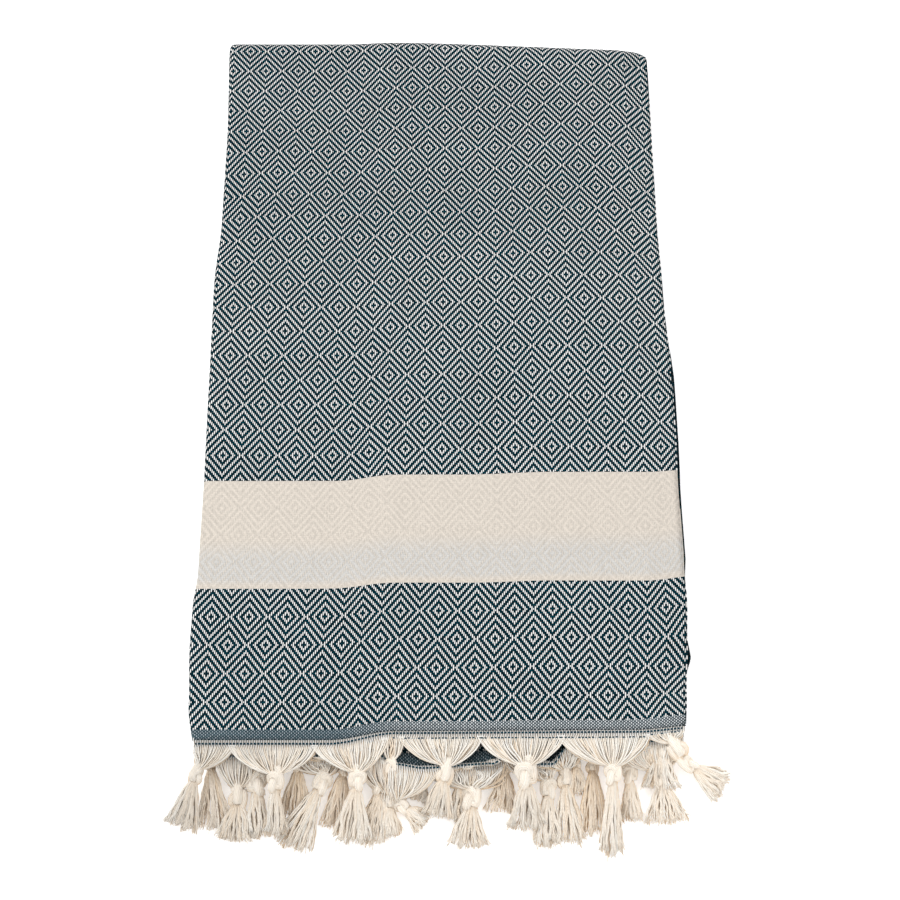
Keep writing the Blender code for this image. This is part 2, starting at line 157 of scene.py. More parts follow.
# Mesh of the cloth
TOP_COLUMNS = 64
HIDDEN_COLUMNS = 22
SIDE_FOLD_STEPS = (10, 6, 8)
TOP_ROWS = 96
HIDDEN_ROWS = 30
END_FOLD_STEPS = (16, 10, 10)
RIM_BULGE = 0.45

# Colours of the cloth
CLOTH_LEVEL = 0.893
CREAM_WARP = (0.945, 0.91, 0.885, 1.0)
BAND_WARP = (0.67, 0.615, 0.545, 1.0)
DEEP_WEFT = (0.0, 0.002, 0.006, 1.0)
TEAL_WEFT = (0.001, 0.039, 0.056, 1.0)
BAND_WEFT = (0.645, 0.585, 0.515, 1.0)
GREYER_BAND_WEFT = (0.57, 0.555, 0.53, 1.0)
HEM_WARP_RIGHT = (0.85, 0.86, 0.87, 1.0)
HEM_WARP_LEFT = (0.38, 0.42, 0.46, 1.0)
HEM_WEFT_RIGHT = (0.083, 0.098, 0.107, 1.0)
HEM_WEFT_LEFT = (0.043, 0.081, 0.095, 1.0)
GAP_SHADE_TINT = (0.80, 0.95, 1.0, 1.0)
WHITE = (1.0, 1.0, 1.0, 1.0)
HUSK = (0.33, 0.22, 0.13, 1.0)
HEM_PICKS_CLOSER = 1.35
HEM_LEFT_ENDS = (20.0, 75.0)
WARP_HALF_WIDTH = 0.175
FLOAT_BOW = 0.6
COTTON_ROUGHNESS = 0.95
WEAVE_RELIEF = 0.0003


def smooth(value, start, end):
    """0 before start, 1 after end, eased between."""
    share = np.clip((value - start) / (end - start), 0.0, 1.0)
    return share * share * (3.0 - 2.0 * share)


def eased_columns(y, rows):
    """The columns of a table at each y, eased between its rows."""
    values = [np.full_like(y, value) for value in rows[0][1:]]
    for low, high in zip(rows, rows[1:]):
        share = smooth(y, low[0], high[0])
        for column, (start, end) in enumerate(zip(low[1:], high[1:])):
            values[column] += (end - start) * share
    return values


def swells(x, y, rows):
    """The sum of a table's round swells at each place."""
    return sum(rise * np.exp(-((x - middle_x) / reach_x) ** 2 - ((y - middle_y) / reach_y) ** 2)
               for middle_x, middle_y, reach_x, reach_y, rise in rows)


def corner_lift(x, y):
    """How far the near right corner is drawn up."""
    span_x, span_y = NEAR_CORNER_SPANS
    return NEAR_CORNER_LIFT * smooth(x, *span_x) * (1.0 - smooth(y, *span_y))


def settled(points):
    """Takes points of the even stack to their places in the uneven one."""
    x, y, z = points[..., 0], points[..., 1], points[..., 2]
    along = (y - UPPER_HEM_Y) / (FAR_FOLD_Y - UPPER_HEM_Y)
    left_part = 1.0 - smooth(x, *LEFT_SPAN)
    height = 1.0 - left_part * (LEFT_SINK[0] - LEFT_SINK[1] * along)
    height += swells(x, y, SWELL_ROWS) - RIGHT_SINK * smooth(x, *RIGHT_SINK_SPAN)
    shift_y = left_part * (LEFT_SHIFT[0] + LEFT_SHIFT[1] * along)
    shift_y += smooth(x, *SKEW_SPAN) * (SKEW[0] - SKEW[1] * along)
    shift_y -= FAR_CORNER_PULL * smooth(x, *FAR_CORNER_SPANS[0]) * smooth(y, *FAR_CORNER_SPANS[1])
    shift_y += corner_lift(x, y)
    low_z, high_z = SECOND_PACK_Z
    second_end = smooth(z, low_z - SECOND_PACK_EASE, low_z + SECOND_PACK_EASE)
    second_end *= 1.0 - smooth(z, high_z - SECOND_PACK_EASE, high_z + SECOND_PACK_EASE)
    second_end *= 1.0 - smooth(y, LOWER_HEM_Y, LOWER_HEM_Y + SECOND_HEM_REACH)
    shift_y += second_end * eased_columns(x, SECOND_HEM_ROWS)[0]
    left, right = eased_columns(y, EDGE_ROWS)
    across = (x - LEFT_EDGE_X) / (RIGHT_EDGE_X - LEFT_EDGE_X)
    new_x = left + (right - left) * across
    low_down = (1.0 - smooth(z, *PROUD_Z)) * smooth(across, *PROUD_SPAN)
    for start, full_from, full_to, end, reach in PROUD_ROWS:
        new_x += reach * low_down * smooth(y, start, full_from) * (1.0 - smooth(y, full_to, end))
    return np.stack([new_x, y + shift_y, z * height], axis=-1)


def to_scene(points):
    return (points + CENTRING) * MM


def turn(centre, radius, start, end, steps, outward):
    """Stations inside a half turn: place, height, normal along, normal up, angle turned so far."""
    sign = 1.0 if outward else -1.0
    rows = []
    for step in range(1, steps):
        angle = start + (end - start) * step / steps
        along, up = math.cos(angle), math.sin(angle)
        rows.append((centre[0] + radius * along, centre[1] + radius * up, sign * along, sign * up,
                     sign * abs(end - start) * step / steps))
    return rows


def run(places, height, normal_up):
    return [(place, height, 0.0, normal_up, 0.0) for place in places]


def stations(pieces):
    """Joins runs and turns, each with its half turns. Adds the length and the angle turned so far."""
    rows = []
    turned = []
    past_turns = 0.0
    for half_turns, piece in pieces:
        rows += [row[:4] for row in piece]
        turned += [past_turns + row[4] for row in piece]
        past_turns += half_turns * math.pi
    table = np.array(rows)
    steps = np.linalg.norm(np.diff(table[:, :2], axis=0), axis=1)
    return table, np.concatenate([[0.0], np.cumsum(steps)]), np.array(turned)


def cross_section():
    """Stations from the first selvedge to the second, with the length of cloth before each."""
    outer, inner = 1.5 * LAYER_PITCH, 0.5 * LAYER_PITCH
    left_fold, right_fold = (SECTION_LEFT_X, 0.0), (FOLD_RIGHT_X, -LAYER_PITCH)
    half = math.pi / 2.0
    top = np.linspace(RIGHT_EDGE_X, SECTION_LEFT_X, TOP_COLUMNS + 1)
    hidden = np.linspace(SECTION_LEFT_X, FOLD_RIGHT_X, HIDDEN_COLUMNS + 1)
    first, second, third = SIDE_FOLD_STEPS
    return stations([
        (0, run(top, outer, 1.0)), (1, turn(left_fold, outer, half, 3.0 * half, first, True)),
        (0, run(hidden, -outer, -1.0)), (1, turn(right_fold, inner, -half, half, second, True)),
        (0, run(hidden[::-1], -inner, 1.0)), (-1, turn(left_fold, inner, 3.0 * half, half, third, False)),
        (0, run(hidden, inner, -1.0)),
    ])[:2]


def length_path():
    """Stations from the upper hem to the lower one, with flat lengths and turned angles."""
    middle = 0.5 * FOLDED_HEIGHT
    outer, inner = 1.5 * PACK_PITCH, 0.5 * PACK_PITCH
    half = math.pi / 2.0
    far_fold, near_fold = (PACK_FAR_Y, middle), (PACK_NEAR_Y, middle - PACK_PITCH)
    top = np.linspace(UPPER_HEM_Y, PACK_FAR_Y, TOP_ROWS + 1)
    near = np.linspace(PACK_FAR_Y, PACK_NEAR_Y, HIDDEN_ROWS + 1)
    last = np.linspace(PACK_FAR_Y, LOWER_HEM_Y, HIDDEN_ROWS + 1)
    first, second, third = END_FOLD_STEPS
    return stations([
        (0, run(top, middle + outer, 1.0)), (1, turn(far_fold, outer, half, -half, first, True)),
        (0, run(near, middle - outer, -1.0)), (1, turn(near_fold, inner, -half, -3.0 * half, second, True)),
        (0, run(near[::-1], middle - inner, 1.0)), (-1, turn(far_fold, inner, -half, half, third, False)),
        (0, run(last, middle + inner, -1.0)),
    ])


def row_shift(x, y):
    """How far the picks lie askew at a place of the top layer."""
    left, middle, right = eased_columns(y, GRAIN_ROWS)
    shift = left + (middle - left) * smooth(x, *GRAIN_LEFT_SPAN)
    shift += (right - middle) * smooth(x, *GRAIN_RIGHT_SPAN) + swells(x, y, GRAIN_WAVES)
    span_x, far_span, near_span = BAND_EDGE_SPANS
    beside_band = smooth(-y, *far_span) * (1.0 - smooth(-y, *near_span))
    shift += BAND_EDGE_RISE * smooth(x, *span_x) * beside_band
    span_x, near_span = NEAR_EDGE_SPANS
    return shift + NEAR_EDGE_RISE * smooth(x, *span_x) * smooth(-y, *near_span) + corner_lift(x, y)


def soft_excess(value, reach):
    """Nothing below 0, the value above, eased over the reach."""
    return reach * np.log1p(np.exp(np.clip(value / reach, -30.0, 30.0)))


def top_picks(x, y):
    """The pick number at a place of the top layer. Pick 0 is the diamonds' centre row at the band."""
    level = y - row_shift(x, y)
    count = (level - CENTRE_ROW_Y) / PICK_PITCH
    rate, start, reach = CLOSER_FAR
    closer_far = rate * soft_excess(level - start, reach)
    rate, start, reach = CLOSER_NEAR
    closer_near = rate * soft_excess(start - level, reach)
    return count + closer_far - closer_near + 0.5


def top_ends(x, y):
    """The end number at a place of the top layer, counted leftwards from a centre column."""
    centre_x = CENTRE_COLUMN_X
    for drift, start, end in COLUMN_DRIFTS:
        centre_x += drift * smooth(y, start, end)
    centre_x -= NEAR_DRIFT[0] * smooth(-y, *NEAR_DRIFT[1:])
    for drift, from_x, to_x, middle_y, reach in COLUMN_BULGES:
        centre_x += drift * (1.0 - smooth(x, from_x, to_x)) * np.exp(-((y - middle_y) / reach) ** 2)
    closer_far = ENDS_CLOSER_FAR[0] * smooth(y, *ENDS_CLOSER_FAR[1:])
    closer_near = ENDS_CLOSER_NEAR[0] * smooth(-y, *ENDS_CLOSER_NEAR[1:])
    return (centre_x - x) / (END_PITCH * (TOP_ENDS_SCALE - closer_far - closer_near)) + 0.5


def mesh_object(name, vertices, faces, material, smooth_shaded=True):
    """faces is a list of index arrays, each with one row per face."""
    mesh = bpy.data.meshes.new(name)
    mesh.vertices.add(len(vertices))
    mesh.vertices.foreach_set("co", np.ascontiguousarray(vertices, dtype=np.float32).ravel())
    loops = np.concatenate([part.ravel() for part in faces]).astype(np.int32)
    counts = np.concatenate([np.full(len(part), part.shape[1]) for part in faces])
    starts = np.concatenate([[0], np.cumsum(counts)[:-1]]).astype(np.int32)
    mesh.loops.add(len(loops))
    mesh.loops.foreach_set("vertex_index", loops)
    mesh.polygons.add(len(counts))
    mesh.polygons.foreach_set("loop_start", starts)
    mesh.update(calc_edges=True)
    mesh.polygons.foreach_set("use_smooth", np.full(len(counts), smooth_shaded))
    mesh.materials.append(material)
    mesh.validate()
    part = bpy.data.objects.new(name, mesh)
    bpy.context.scene.collection.objects.link(part)
    return part


def add_attribute(part, name, kind, values):
    attribute = part.data.attributes.new(name, kind, "POINT")
    field = "vector" if kind == "FLOAT_VECTOR" else "value"
    attribute.data.foreach_set(field, np.ascontiguousarray(values, dtype=np.float32).ravel())


def build_cloth(material):
    """The towel as one closed sheet, with its ends, picks and distance from the hems as attributes."""
    section, section_length = cross_section()
    path, path_length, path_turned = length_path()
    columns, rows = len(section), len(path)

    def surface(side, out_x=0.0, out_y=0.0):
        """Points of the face (1), the back (-1) or between (0), for all rows and columns."""
        offset = side * 0.5 * CLOTH_THICKNESS
        x = section[None, :, 0] + offset * section[None, :, 2] + out_x
        up = section[None, :, 1] + offset * section[None, :, 3]
        y = path[:, None, 0] + up * path[:, None, 2] + out_y
        z = path[:, None, 1] + up * path[:, None, 3]
        return settled(np.stack(np.broadcast_arrays(x, y, z), axis=-1))

    face = surface(1.0)
    back = surface(-1.0)
    rim = surface(0.0, out_x=RIM_BULGE)
    hem = surface(0.0, out_y=-RIM_BULGE)

    # Flat coordinates: by length of cloth, then drawn to the measured grain of the top layer
    ends = section_length[None, :] / END_PITCH + np.zeros((rows, 1))
    picks = (path_length[:, None] + section[None, :, 1] * path_turned[:, None]) / PICK_PITCH
    middle_surface = surface(0.0)
    top = middle_surface[:TOP_ROWS + 1, :TOP_COLUMNS + 1]
    ends_error = top_ends(top[..., 0], top[..., 1]) - ends[:TOP_ROWS + 1, :TOP_COLUMNS + 1]
    picks_error = top_picks(top[..., 0], top[..., 1]) - picks[:TOP_ROWS + 1, :TOP_COLUMNS + 1]
    near_row = np.minimum(np.arange(rows), TOP_ROWS)
    near_column = np.minimum(np.arange(columns), TOP_COLUMNS)
    ends += ends_error[near_row][:, near_column]
    picks += picks_error[near_row][:, near_column]
    last_pick = picks[-1:, :]
    thinner_hem = THINNER_HEM * (1.0 - smooth(middle_surface[..., 0], *GRAIN_LEFT_SPAN))
    thinner_hem *= smooth(-middle_surface[..., 1], *THINNER_HEM_SPAN)
    from_end = np.minimum(picks - HEM_END_PICK + thinner_hem, last_pick - picks)

    count = rows * columns
    index = np.arange(count).reshape(rows, columns)
    rim_first = 2 * count + np.arange(rows)
    rim_last = rim_first + rows
    hem_first = 2 * count + 2 * rows + np.arange(columns)
    hem_last = hem_first + columns
    rims = [rim[:, 0], rim[:, -1], hem[0], hem[-1]]
    vertices = np.concatenate([face.reshape(-1, 3), back.reshape(-1, 3)] + rims)

    def flat(values):
        return np.concatenate([values.ravel(), values.ravel(), values[:, 0], values[:, -1],
                               values[0], values[-1]])

    side = np.concatenate([np.ones(count), -np.ones(count), np.zeros(2 * rows + 2 * columns)])
    quads = []

    def strip(first, second):
        quads.append(np.stack([first[:-1], first[1:], second[1:], second[:-1]], axis=-1).reshape(-1, 4))

    a, b, c, d = index[:-1, :-1], index[:-1, 1:], index[1:, 1:], index[1:, :-1]
    quads.append(np.stack([a, b, c, d], axis=-1).reshape(-1, 4))
    quads.append((np.stack([a, d, c, b], axis=-1) + count).reshape(-1, 4))
    strip(rim_first, index[:, 0])
    strip(index[:, 0] + count, rim_first)
    strip(index[:, -1], rim_last)
    strip(rim_last, index[:, -1] + count)
    strip(index[0], hem_first)
    strip(hem_first, index[0] + count)
    strip(hem_last, index[-1])
    strip(index[-1] + count, hem_last)
    corners = []
    for row, hem_line in ((0, hem_first), (-1, hem_last)):
        for column, rim_line in ((0, rim_first), (-1, rim_last)):
            front, middle, tip = index[row, column], hem_line[column], rim_line[row]
            triangles = [(front, middle, tip), (middle, front + count, tip)]
            corners += triangles if row == column else [one[::-1] for one in triangles]
    part = mesh_object("cloth_woven", to_scene(vertices), quads + [np.array(corners)], material)
    add_attribute(part, "weave", "FLOAT_VECTOR", np.stack([flat(ends), flat(picks), side], axis=-1))
    add_attribute(part, "from_end", "FLOAT", flat(from_end))
    return part


class Nodes:
    """Short calls for building a material's node tree."""

    def __init__(self, name):
        self.material = bpy.data.materials.new(name)
        self.material.use_nodes = True
        self.tree = self.material.node_tree
        self.shader = self.tree.nodes["Principled BSDF"]
        operations = ("ADD", "SUBTRACT", "MULTIPLY", "MULTIPLY_ADD")
        self.plus, self.minus, self.times, self.times_plus = (partial(self.math, name) for name in operations)

    def link(self, source, target):
        self.tree.links.new(source, target)

    def put(self, socket, value):
        if isinstance(value, (int, float, tuple)):
            socket.default_value = value
        else:
            self.tree.links.new(value, socket)

    def surface(self, values):
        """Sets inputs of the shader by their names."""
        for name, value in values.items():
            self.put(self.shader.inputs[name], value)

    def new(self, kind, inputs=(), **settings):
        """The outputs of a new node. Its inputs are pairs of name or number and value."""
        node = self.tree.nodes.new("ShaderNode" + kind)
        for name, value in settings.items():
            setattr(node, name, value)
        for name, value in inputs:
            self.put(node.inputs[name], value)
        return node.outputs

    def math(self, operation, *values):
        return self.new("Math", enumerate(values), operation=operation)[0]

    def blend(self, share, first, second):
        return self.plus(self.times(first, self.minus(1.0, share)), self.times(second, share))

    def attribute(self, name, output="Fac"):
        return self.new("Attribute", attribute_name=name)[output]

    def separate(self, vector):
        return self.new("SeparateXYZ", [(0, vector)])

    def combine(self, *values):
        return self.new("CombineXYZ", enumerate(values))[0]

    def noise(self, vector, scale, detail=2.0):
        return self.new("TexNoise", [("Vector", vector), ("Scale", scale), ("Detail", detail)])[0]

    def white_noise(self, vector):
        return self.new("TexWhiteNoise", [("Vector", vector)], noise_dimensions="3D")[0]

    def mix(self, share, first, second):
        return self.new("Mix", [(0, share), (6, first), (7, second)], data_type="RGBA")[2]

    def ramp(self, value, start, end):
        """0 at start, 1 at end, eased between."""
        inputs = [("Value", value), ("From Min", start), ("From Max", end)]
        return self.new("MapRange", inputs, interpolation_type="SMOOTHSTEP")[0]

    def product(self, first, second):
        return self.new("VectorMath", [(0, first), (1, second)], operation="MULTIPLY")[0]

    def scaled(self, colour, factor):
        return self.new("VectorMath", [(0, colour), (3, factor)], operation="SCALE")[0]

    def bump(self, height, strength, distance):
        inputs = [("Strength", strength), ("Distance", distance), ("Height", height)]
        self.surface({"Normal": self.new("Bump", inputs)["Normal"]})


def weave_material():
    """Diamond twill of dark weft on cream warp, with a cream band and a plain-woven hem."""
    n = Nodes("diamond_twill")
    ends, picks, side = n.separate(n.attribute("weave", "Vector"))
    from_end = n.attribute("from_end")
    end_number = n.math("FLOOR", ends)
    pick_number = n.math("FLOOR", picks)

    # Zones of the towel
    in_hem = n.math("LESS_THAN", from_end, HEM_TOP_PICK - HEM_END_PICK)
    hem_left = n.ramp(ends, *HEM_LEFT_ENDS)
    past_start = n.math("GREATER_THAN", from_end, BAND_FIRST_PICK - HEM_END_PICK)
    before_end = n.math("LESS_THAN", from_end, BAND_END_PICK - HEM_END_PICK)
    in_band = n.times(past_start, before_end)

    # Twill chart
    across = n.math("PINGPONG", end_number, 0.5 * ENDS_PER_DIAMOND)
    along = n.math("PINGPONG", pick_number, 0.5 * PICKS_PER_DIAMOND)
    phase = n.math("FLOORED_MODULO", n.plus(n.plus(across, along), 0.5), 4.0)
    twill = n.math("LESS_THAN", phase, 2.0)

    # The hem is woven plain, and its picks are packed closer
    fine_picks = n.times(picks, HEM_PICKS_CLOSER)
    fine_sum = n.plus(n.plus(end_number, n.math("FLOOR", fine_picks)), 0.5)
    fine = n.math("LESS_THAN", n.math("FLOORED_MODULO", fine_sum, 2.0), 1.0)
    chart = n.blend(in_hem, twill, fine)

    # The back of the cloth shows the other threads
    on_face = n.math("GREATER_THAN", side, 0.0)
    weft_up = n.math("COMPARE", chart, on_face, 0.5)

    # Roundness of each thread across itself, and of each float along itself
    woven_picks = n.blend(in_hem, picks, fine_picks)
    end_part = n.minus(n.math("FRACT", ends), 0.5)
    pick_part = n.minus(n.math("FRACT", woven_picks), 0.5)
    warp_round = n.math("COSINE", n.times(end_part, math.pi))
    weft_round = n.math("COSINE", n.times(pick_part, math.pi))
    smooth_across = n.math("PINGPONG", n.minus(ends, 0.5), 0.5 * ENDS_PER_DIAMOND)
    smooth_along = n.math("PINGPONG", n.minus(picks, 0.5), 0.5 * PICKS_PER_DIAMOND)
    weft_place = n.minus(n.plus(smooth_across, along), 0.5)
    warp_place = n.minus(n.plus(across, smooth_along), 0.5)
    weft_bow = n.math("ABSOLUTE", n.math("COSINE", n.times(weft_place, math.pi / 4.0)))
    warp_bow = n.math("ABSOLUTE", n.math("SINE", n.times(warp_place, math.pi / 4.0)))
    weft_height = n.times(weft_round, n.times_plus(weft_bow, FLOAT_BOW, 1.0 - FLOAT_BOW))
    warp_height = n.times(warp_round, n.times_plus(warp_bow, FLOAT_BOW, 1.0 - FLOAT_BOW))

    # A warp thread is narrower than its share of the width, and its floats start under the weft.
    # It is a little narrower still far away and on the left.
    cloudy = n.noise(n.combine(n.times(ends, 0.022), n.times(picks, 0.026), 4.0), 1.0, 3.0)
    warp_half = n.times_plus(warp_bow, 0.10, WARP_HALF_WIDTH)
    warp_half = n.plus(warp_half, n.times(cloudy, 0.09))
    warp_half = n.minus(warp_half, n.times(n.ramp(picks, 150.0, 240.0), 0.035))
    warp_half = n.plus(warp_half, n.times_plus(n.ramp(ends, -136.0, 148.0), -0.020, 0.006))
    beside = n.minus(n.math("ABSOLUTE", end_part), warp_half)
    float_shows = n.math("MAXIMUM", n.ramp(warp_bow, 0.70, 0.82), in_hem)
    float_shows = n.times(float_shows, n.minus(1.0, n.ramp(beside, -0.05, 0.05)))
    warp_shows = n.times(n.minus(1.0, weft_up), float_shows)
    weft_shows = n.times(n.minus(1.0, warp_shows), weft_up)
    height = n.plus(n.times(weft_height, weft_shows), n.times(warp_height, warp_shows))

    # In the cream band the two threads look alike, and the twill shows as soft slanting ribs
    rib_phase = n.times(n.plus(smooth_across, smooth_along), math.pi / 2.0)
    rib = n.times_plus(n.math("COSINE", n.minus(rib_phase, math.pi / 4.0)), 0.5, 0.5)
    band_height = n.plus(n.times(rib, 0.60), n.times(height, 0.40))
    height = n.blend(in_band, height, band_height)

    # Yarn colours, which vary from thread to thread and along each thread. The dark weft also gets painted
    # shade at its edges and a painted sheen along the middle of its floats
    warp_code = n.combine(end_number, 3.0, n.math("FLOOR", n.times(picks, 0.07)))
    weft_code = n.combine(n.math("FLOOR", n.times(ends, 0.05)), pick_number, 9.0)
    warp_tone = n.times_plus(n.white_noise(warp_code), 0.10, 0.95)
    weft_tone = n.times_plus(n.white_noise(weft_code), 0.5, 0.75)
    fibre = n.noise(n.combine(n.times(ends, 1.7), n.times(picks, 1.7), 0.0), 1.0)
    hem_warp = n.mix(hem_left, HEM_WARP_RIGHT, HEM_WARP_LEFT)
    warp_colour = n.mix(in_hem, n.mix(in_band, CREAM_WARP, BAND_WARP), hem_warp)
    warp_colour = n.scaled(warp_colour, warp_tone)
    hem_weft = n.mix(hem_left, HEM_WEFT_RIGHT, HEM_WEFT_LEFT)
    dark_weft = n.mix(n.ramp(fibre, 0.30, 0.70), DEEP_WEFT, TEAL_WEFT)
    # Painted shade and sheen: the dark weft is darker at its edges and lighter on the middle of its floats
    dark_weft = n.scaled(dark_weft, n.times_plus(height, 0.95, 0.45))
    dark_weft = n.scaled(n.mix(in_hem, dark_weft, hem_weft), weft_tone)
    in_from_edge = n.minus(from_end, BAND_FIRST_PICK - HEM_END_PICK)
    greyer = n.times(n.ramp(in_from_edge, 1.0, 5.0), n.minus(1.0, n.ramp(in_from_edge, 14.0, 26.0)))
    band_weft = n.mix(greyer, BAND_WEFT, GREYER_BAND_WEFT)
    weft_colour = n.mix(in_band, dark_weft, band_weft)
    colour = n.mix(warp_shows, weft_colour, warp_colour)

    # Less light reaches the gaps between threads
    gap = n.times_plus(height, 0.53, 0.53)
    cell = n.combine(n.math("FLOOR", n.times(ends, 1.3)), n.math("FLOOR", n.times(picks, 1.3)), 5.0)
    band_gap = n.times_plus(height, 0.24, 0.85)
    band_gap = n.plus(band_gap, n.times_plus(n.white_noise(cell), 0.14, -0.07))
    gap = n.blend(in_band, gap, band_gap)
    colour = n.scaled(colour, n.times(gap, n.times_plus(fibre, 0.20, 0.90)))
    # Painted shade in the gaps between threads, tinted towards teal
    colour = n.product(colour, n.mix(n.math("MAXIMUM", height, in_band), GAP_SHADE_TINT, WHITE))

    # A few darker specks of seed husk in the cream yarn
    speck = n.noise(n.combine(n.times(ends, 0.9), n.times(picks, 1.3), 7.0), 1.0, 1.0)
    speck = n.times(n.ramp(speck, 0.72, 0.80), n.times(in_band, 0.22))
    colour = n.mix(speck, colour, HUSK)
    colour = n.scaled(colour, CLOTH_LEVEL)
    n.surface({"Base Color": colour, "Roughness": COTTON_ROUGHNESS, "Specular IOR Level": 0.04})
    n.bump(n.plus(height, n.times(fibre, 0.3)), 0.6, WEAVE_RELIEF)
    return n.material


# Tassels. Threads gather from a stretch of hem, are tied in a knot and open into a skirt.
# columns: name, root from x, root to x, knot x, y, z, tip x, y, tip half width, pile height at the tip,
#          knot size, strands in the skirt, depth of shade
UPPER_TASSELS = (
    ("g1", -131.5, -112, -129, -173.5, 13, -137, -198, 9, 0.4, 1.1, 230, 0),
    ("g2", -112, -69.5, -88, -177.5, 15.5, -88.5, -202, 5.6, 4.5, 1.3, 210, 0),
    ("g3", -69.5, -33, -47, -176.5, 15, -49.5, -205, 9.8, 4, 1.3, 240, 0),
    ("u", -33, -24.5, -29.8, -169.5, 15.5, -28.8, -187, 4.5, 5, 1, 90, 0.1),
    ("g4", -24.5, 15.5, -2.5, -173, 15.5, -6.5, -192.5, 8.5, 3.5, 1.3, 230, 0),
    ("g5", 15.5, 57.5, 38.5, -174, 16, 39, -199, 9.8, 3, 1.65, 240, 0),
    ("g6", 57.5, 101.5, 82.5, -173.5, 15, 81.5, -210.5, 6.2, 2, 1.3, 210, 0),
    ("g7", 101.5, 121, 122, -168, 10.5, 140, -178, 9.4, 0.4, 1.15, 230, 0),
)
LOWER_TASSELS = (
    ("b", -120, -97, -108, -183, 5.2, -108, -204.5, 11, 0.6, 1.45, 180, 0.1),
    ("d", -97, -74, -77.5, -167, 7, -78.5, -193, 9.5, 0.4, 1, 160, 0.85),
    ("f", -74, -48, -54.5, -169, 7, -58, -198, 8.5, 0.4, 1, 150, 0.6),
    ("h", -48, -33, -31, -185, 4.6, -30, -202, 6.5, 0.4, 1.2, 150, 0.1),
    ("i", -33, -8, -24.5, -187.5, 4.2, -12.5, -195.5, 7.5, 0.4, 1.1, 160, 0.05),
    ("k", -8, 10, 5.5, -174, 6.2, 3, -194, 5, 0.4, 1.3, 150, 0.2),
    ("m", 10, 40, 28, -167.5, 7.5, 27, -189.5, 8.5, 0.4, 1, 160, 0.6),
    ("o", 40, 68, 59, -173.5, 5.6, 61.5, -204.5, 8.2, 0.4, 1.3, 170, 0.15),
    ("q", 68, 88, 73, -167, 5.5, 73.5, -200.5, 9, 0.4, 1, 170, 0.8),
    ("t", 88, 120, 108, -173.5, 4.7, 110.5, -195.5, 11.5, 0.4, 1, 180, 0.1),
)
LOWEST_TASSELS = (
    ("a", -131, -115, -122.5, -166, 7, -119, -198.5, 8.4, 0.3, 0.9, 160, 0.45),
    ("c", -115, -85, -98.5, -176.5, 7.5, -97, -202.5, 6.6, 1.5, 1.6, 150, 0),
    ("e", -85, -58, -65.5, -176.5, 6.8, -80.5, -207.5, 9.8, 0.6, 1.4, 180, 0.1),
    ("g", -58, -28, -35, -177, 5.6, -41, -206, 7.8, 0.3, 1.4, 160, 0.25),
    ("j", -28, -9, -13.5, -168, 7.5, -18.5, -184.5, 8.2, 1.5, 0.95, 150, 0.3),
    ("l", -9, 30, 11, -184, 5.6, 9, -207, 10.5, 0.3, 1.5, 180, 0),
    ("n", 30, 54, 50, -179, 5.6, 49.5, -206.5, 7.8, 0.3, 1.3, 160, 0.05),
    ("p", 54, 74, 64, -165.5, 7, 66.5, -181, 6, 1.5, 0.9, 120, 0.4),
    ("r", 74, 97, 92, -171.5, 5.4, 92, -194.5, 6.2, 0.3, 1.2, 150, 0.2),
    ("s", 97, 120, 107, -160, 12.5, 108, -179, 10.5, 3.5, 0.95, 180, 0),
)

FIRST_PACK_Z = 0.5 * FOLDED_HEIGHT + 1.5 * PACK_PITCH
NEXT_PACK_Z = FIRST_PACK_Z - PACK_PITCH
HALF_PACK = 1.5 * LAYER_PITCH
# The layers of fringe. columns: piece, node of the solid, tassels, hem y, hem height, bulge of the gathers
FRINGES = (
    ("fringe_of_first_end", "fringe_upper", UPPER_TASSELS, UPPER_HEM_Y, FIRST_PACK_Z + HALF_PACK, 0.0),
    ("fringe_of_second_end", "fringe_lower", LOWER_TASSELS, LOWER_HEM_Y, NEXT_PACK_Z + HALF_PACK, 0.6),
    ("fringe_of_second_end_below", "fringe_lower", LOWEST_TASSELS, LOWER_HEM_Y, NEXT_PACK_Z - HALF_PACK, 1.0),
)

# Yarn
WARP_RADIUS = 0.46
HEADER_RADII = (0.29, 0.29, 0.30, 0.37, 0.42)
PLY_RADIUS = 0.34
KNOT_THREAD_RADIUS = 0.34
WEFT_RADIUS = 0.50
LOOSE_WEFT_RADIUS = 0.36
HEADER_LENGTH = 2.6
HANK_OVERLAP = 2.0
LOCK_WIDTH = 2.1
SKIRT_POINTS = 11
KNOT_THREADS = 14
KNOT_SHAPE = (1.12, 0.92, 0.80)
KNOT_POINTS = 40
NECK_BEFORE_KNOT = 3.0
NECK_RADIUS = 1.7
THREADS_IN_TUFT = 4
THREAD_SIDES = 3
KNOT_SIDES = 4
CORE_SIDES = 6
WEFT_SIDES = 5
LOOSE_PICK_FROM_X = -30.0
CREAM_YARN = (0.98, 0.93, 0.85, 1.0)
CREAM_SHADE = (0.79, 0.50, 0.21, 1.0)
CREAM_PALE_AND_HIGHLIGHT = (0.96, 0.955, 0.94, 1.0)
TEAL_YARN = (0.010, 0.050, 0.070, 1.0)
TEAL_SHADE = (0.006, 0.034, 0.050, 1.0)
YARN_RELIEF = 0.0002
# Painted shade on the yarn left of the middle and painted light right of it: x from and to in metres, level
YARN_SHADE_ON_LEFT = (-0.13, -0.04, 0.87)
YARN_LIGHT_ON_RIGHT = (0.05, 0.10, 1.05)

# Hanks that are looped up above their knot. columns: name, coil x, y, z, size
COILS = (("g7", 115.5, -160, 14.5, 1.5),)


def unit(vectors):
    return vectors / np.maximum(np.linalg.norm(vectors, axis=-1, keepdims=True), 1e-9)


def carried_frames(paths):
    """Side and up at each point of each path, carried along without twist."""
    ahead = unit(np.gradient(paths, axis=1))
    side = np.empty_like(paths)
    seed = np.cross(ahead[:, 0], (0.05, 0.1, 1.0))
    for index in range(paths.shape[1]):
        seed = seed - (seed * ahead[:, index]).sum(-1, keepdims=True) * ahead[:, index]
        seed = unit(seed)
        side[:, index] = seed
    return side, np.cross(ahead, side)


